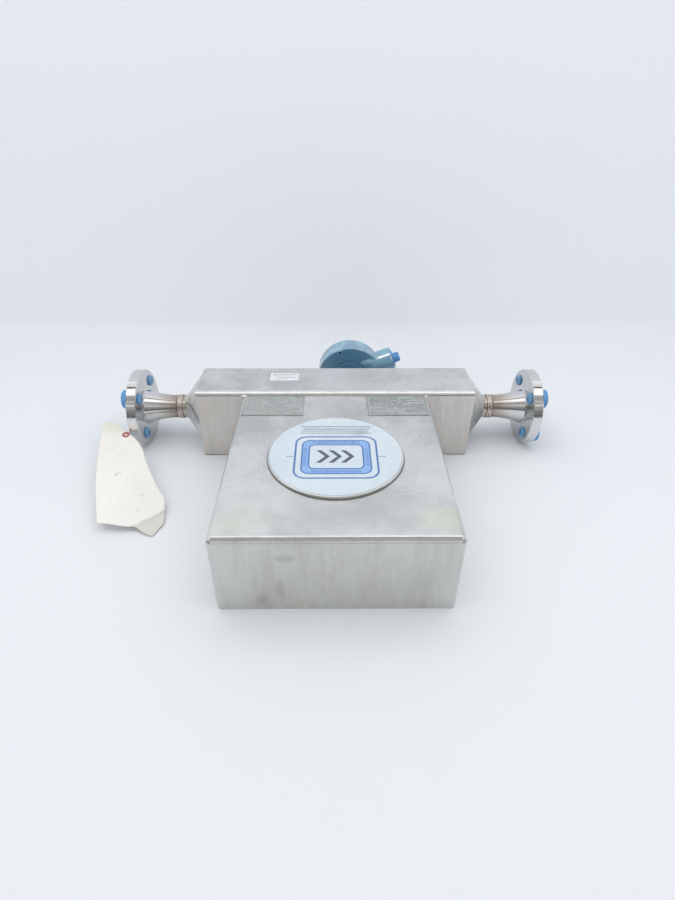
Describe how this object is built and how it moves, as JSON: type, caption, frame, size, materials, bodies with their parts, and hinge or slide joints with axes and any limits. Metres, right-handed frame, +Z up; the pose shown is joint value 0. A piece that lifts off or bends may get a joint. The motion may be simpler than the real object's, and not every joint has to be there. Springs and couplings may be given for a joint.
{
  "type": "coriolis flow meter",
  "caption": "Flanged in-line mass flow meter with a flat tube case, twin U flow tubes inside, and a round junction box with a screw cover.",
  "frame": {"origin": "on the resting plane, under the middle of the flow line", "axes": "+X from the inlet flange to the outlet flange, +Y towards the junction box, +Z up"},
  "size_m": [0.6299, 0.4571, 0.108],
  "materials": {
    "case_steel": "fine satin sheet",
    "machined_steel": "bright turned",
    "pipe_steel": "heat-tinted pipe",
    "weld_bead": "oxidised weld",
    "inner_steel": "cast and drawn",
    "magnet": "coated magnet in a cup",
    "winding": "wound bobbin",
    "lead": "insulated lead",
    "box_paint": "semi-gloss paint",
    "block_plastic": "moulded",
    "seal_rubber": "O-ring",
    "plug_plastic": "moulded shipping plug",
    "label_film": "laminated film",
    "plate_metal": "etched",
    "sticker_paper": "paper",
    "tag_card": "card",
    "tag_ring": "fibre patch"
  },
  "bodies": {
    "root": {"case_pan": "case_steel", "case_base": "case_steel", "manifold_cover": "case_steel", "manifold_tray": "case_steel", "inlet_end_plate": "case_steel", "outlet_end_plate": "case_steel", "inlet_end_cap": "case_steel", "outlet_end_cap": "case_steel", "inlet_flange": "machined_steel", "outlet_flange": "machined_steel", "inlet_welds": "weld_bead", "outlet_welds": "weld_bead", "inlet_nozzle": "pipe_steel", "outlet_nozzle": "pipe_steel", "inlet_splitter": "inner_steel", "outlet_splitter": "inner_steel", "manifold_spacer": "inner_steel", "inlet_brace_bar": "inner_steel", "outlet_brace_bar": "inner_steel", "harness": "lead", "junction_neck": "box_paint", "feedthrough": "machined_steel", "junction_body": "box_paint", "neck_screws": "machined_steel", "terminal_block": "block_plastic", "terminal_screws": "machined_steel", "junction_wires": "lead", "ground_screw": "machined_steel", "conduit_plug": "plug_plastic", "inlet_bolt_plugs": "plug_plastic", "outlet_bolt_plugs": "plug_plastic", "round_label": "label_film", "left_data_plate": "plate_metal", "right_data_plate": "plate_metal", "stock_sticker": "sticker_paper", "paper_tag": "tag_card", "tag_eyelet": "tag_ring"},
    "cover_slide": {"cover_seal": "seal_rubber"},
    "cover": {"junction_cover": "box_paint"},
    "upper_tube": {"upper_flow_tube": "inner_steel", "drive_magnet": "magnet", "inlet_pickoff_magnet": "magnet", "outlet_pickoff_magnet": "magnet"},
    "lower_tube": {"lower_flow_tube": "inner_steel", "drive_coil": "winding", "inlet_pickoff_coil": "winding", "outlet_pickoff_coil": "winding", "coil_leads": "lead", "tube_rtd": "machined_steel"}
  },
  "joints": [
    {"name": "cover_travel", "type": "slide", "parent": "root", "child": "cover_slide", "axis": [0, 1, 0], "range_m": [0, 0.008]},
    {"name": "cover_turn", "type": "hinge", "parent": "cover_slide", "child": "cover", "pos_m": [0.0243, 0.1, 0.054], "axis": [0, 1, 0], "range_deg": [0, 1440]},
    {"name": "upper_swing", "type": "hinge", "parent": "root", "child": "upper_tube", "pos_m": [0, -0.06, 0.076], "axis": [1, 0, 0], "range_deg": [-0.15, 0.15], "stiffness_Nm_per_rad": 900},
    {"name": "lower_swing", "type": "hinge", "parent": "root", "child": "lower_tube", "pos_m": [0, -0.06, 0.032], "axis": [1, 0, 0], "range_deg": [-0.15, 0.15], "stiffness_Nm_per_rad": 900}
  ],
  "couplings": [
    {"joint": "cover_travel", "follows": "cover_turn", "m_per_rad": 0.00031831},
    {"joint": "lower_swing", "follows": "upper_swing", "ratio": -1}
  ]
}
